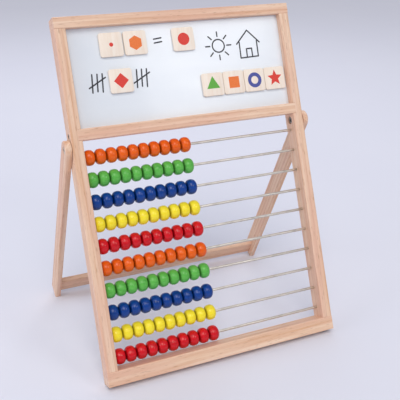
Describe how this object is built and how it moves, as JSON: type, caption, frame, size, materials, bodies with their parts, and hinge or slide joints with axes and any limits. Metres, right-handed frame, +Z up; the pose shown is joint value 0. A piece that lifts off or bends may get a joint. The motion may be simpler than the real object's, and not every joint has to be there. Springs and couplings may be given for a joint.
{
  "type": "abacus",
  "caption": "Counting easel: leaning beech frame with rods of sliding painted beads below a magnetic writing board with picture tiles, on a folding rear stand.",
  "frame": {"origin": "on the floor, under the middle of the easel's bounding box", "axes": "+X to the right of someone facing the beads, +Y away from them towards the stand's feet, +Z up"},
  "size_m": [0.2882, 0.2286, 0.364],
  "materials": {
    "beech": "sanded, thin clear lacquer",
    "bead_orange": "satin lacquer",
    "bead_green": "satin lacquer",
    "bead_blue": "satin lacquer",
    "bead_yellow": "satin lacquer",
    "bead_red": "satin lacquer",
    "rod_steel": "drawn bright",
    "screw_steel": "zinc plated",
    "bolt_steel": "zinc plated",
    "spacer_nylon": "moulded",
    "whiteboard": "gloss white enamel",
    "chalkboard": "matt black chalk paint",
    "fibreboard": "pressed fibre",
    "tile_wood": "printed and sanded",
    "magnet_sheet": "matt"
  },
  "bodies": {
    "frame": {"board_core": "fibreboard", "bottom_rail": "beech", "bottom_rail_screws": "screw_steel", "chalkboard_sheet": "chalkboard", "left_stile": "beech", "middle_rail": "beech", "middle_rail_screws": "screw_steel", "pivot_bolts": "bolt_steel", "pivot_nuts": "bolt_steel", "pivot_spacers": "spacer_nylon", "right_stile": "beech", "rod_01": "rod_steel", "rod_02": "rod_steel", "rod_03": "rod_steel", "rod_04": "rod_steel", "rod_05": "rod_steel", "rod_06": "rod_steel", "rod_07": "rod_steel", "rod_08": "rod_steel", "rod_09": "rod_steel", "rod_10": "rod_steel", "top_rail": "beech", "top_rail_screws": "screw_steel", "whiteboard_sheet": "whiteboard"},
    "stand": {"stand_right_leg": "beech", "stand_left_leg": "beech", "stand_stretcher": "beech", "stretcher_dowels": "beech"},
    "row_01_orange": {"beads_01_orange": "bead_orange"},
    "row_02_green": {"beads_02_green": "bead_green"},
    "row_03_blue": {"beads_03_blue": "bead_blue"},
    "row_04_yellow": {"beads_04_yellow": "bead_yellow"},
    "row_05_red": {"beads_05_red": "bead_red"},
    "row_06_orange": {"beads_06_orange": "bead_orange"},
    "row_07_green": {"beads_07_green": "bead_green"},
    "row_08_blue": {"beads_08_blue": "bead_blue"},
    "row_09_yellow": {"beads_09_yellow": "bead_yellow"},
    "row_10_red": {"beads_10_red": "bead_red"},
    "tile_circle": {"tile_circle": "tile_wood", "tile_circle_magnet": "magnet_sheet"},
    "tile_diamond": {"tile_diamond": "tile_wood", "tile_diamond_magnet": "magnet_sheet"},
    "tile_dot": {"tile_dot": "tile_wood", "tile_dot_magnet": "magnet_sheet"},
    "tile_hexagon": {"tile_hexagon": "tile_wood", "tile_hexagon_magnet": "magnet_sheet"},
    "tile_ring": {"tile_ring": "tile_wood", "tile_ring_magnet": "magnet_sheet"},
    "tile_square": {"tile_square": "tile_wood", "tile_square_magnet": "magnet_sheet"},
    "tile_star": {"tile_star": "tile_wood", "tile_star_magnet": "magnet_sheet"},
    "tile_triangle": {"tile_triangle": "tile_wood", "tile_triangle_magnet": "magnet_sheet"}
  },
  "joints": [
    {"name": "stand_fold", "type": "hinge", "parent": "frame", "child": "stand", "pos_m": [0, -0.01208, 0.23486], "axis": [1, 0, 0], "range_deg": [-45.4, 11]},
    {"name": "row_01_orange_slide", "type": "slide", "parent": "frame", "child": "row_01_orange", "axis": [1, 0, 0], "range_m": [0, 0.1288]},
    {"name": "row_02_green_slide", "type": "slide", "parent": "frame", "child": "row_02_green", "axis": [1, 0, 0], "range_m": [0, 0.1288]},
    {"name": "row_03_blue_slide", "type": "slide", "parent": "frame", "child": "row_03_blue", "axis": [1, 0, 0], "range_m": [0, 0.1288]},
    {"name": "row_04_yellow_slide", "type": "slide", "parent": "frame", "child": "row_04_yellow", "axis": [1, 0, 0], "range_m": [0, 0.1288]},
    {"name": "row_05_red_slide", "type": "slide", "parent": "frame", "child": "row_05_red", "axis": [1, 0, 0], "range_m": [0, 0.1288]},
    {"name": "row_06_orange_slide", "type": "slide", "parent": "frame", "child": "row_06_orange", "axis": [1, 0, 0], "range_m": [0, 0.1288]},
    {"name": "row_07_green_slide", "type": "slide", "parent": "frame", "child": "row_07_green", "axis": [1, 0, 0], "range_m": [0, 0.1288]},
    {"name": "row_08_blue_slide", "type": "slide", "parent": "frame", "child": "row_08_blue", "axis": [1, 0, 0], "range_m": [0, 0.1288]},
    {"name": "row_09_yellow_slide", "type": "slide", "parent": "frame", "child": "row_09_yellow", "axis": [1, 0, 0], "range_m": [0, 0.1288]},
    {"name": "row_10_red_slide", "type": "slide", "parent": "frame", "child": "row_10_red", "axis": [1, 0, 0], "range_m": [0, 0.1288]},
    {"name": "tile_circle_lift", "type": "slide", "parent": "frame", "child": "tile_circle", "axis": [0, -0.9275, 0.3737], "range_m": [0, 0.02]},
    {"name": "tile_diamond_lift", "type": "slide", "parent": "frame", "child": "tile_diamond", "axis": [0, -0.9275, 0.3737], "range_m": [0, 0.02]},
    {"name": "tile_dot_lift", "type": "slide", "parent": "frame", "child": "tile_dot", "axis": [0, -0.9275, 0.3737], "range_m": [0, 0.02]},
    {"name": "tile_hexagon_lift", "type": "slide", "parent": "frame", "child": "tile_hexagon", "axis": [0, -0.9275, 0.3737], "range_m": [0, 0.02]},
    {"name": "tile_ring_lift", "type": "slide", "parent": "frame", "child": "tile_ring", "axis": [0, -0.9275, 0.3737], "range_m": [0, 0.02]},
    {"name": "tile_square_lift", "type": "slide", "parent": "frame", "child": "tile_square", "axis": [0, -0.9275, 0.3737], "range_m": [0, 0.02]},
    {"name": "tile_star_lift", "type": "slide", "parent": "frame", "child": "tile_star", "axis": [0, -0.9275, 0.3737], "range_m": [0, 0.02]},
    {"name": "tile_triangle_lift", "type": "slide", "parent": "frame", "child": "tile_triangle", "axis": [0, -0.9275, 0.3737], "range_m": [0, 0.02]}
  ]
}
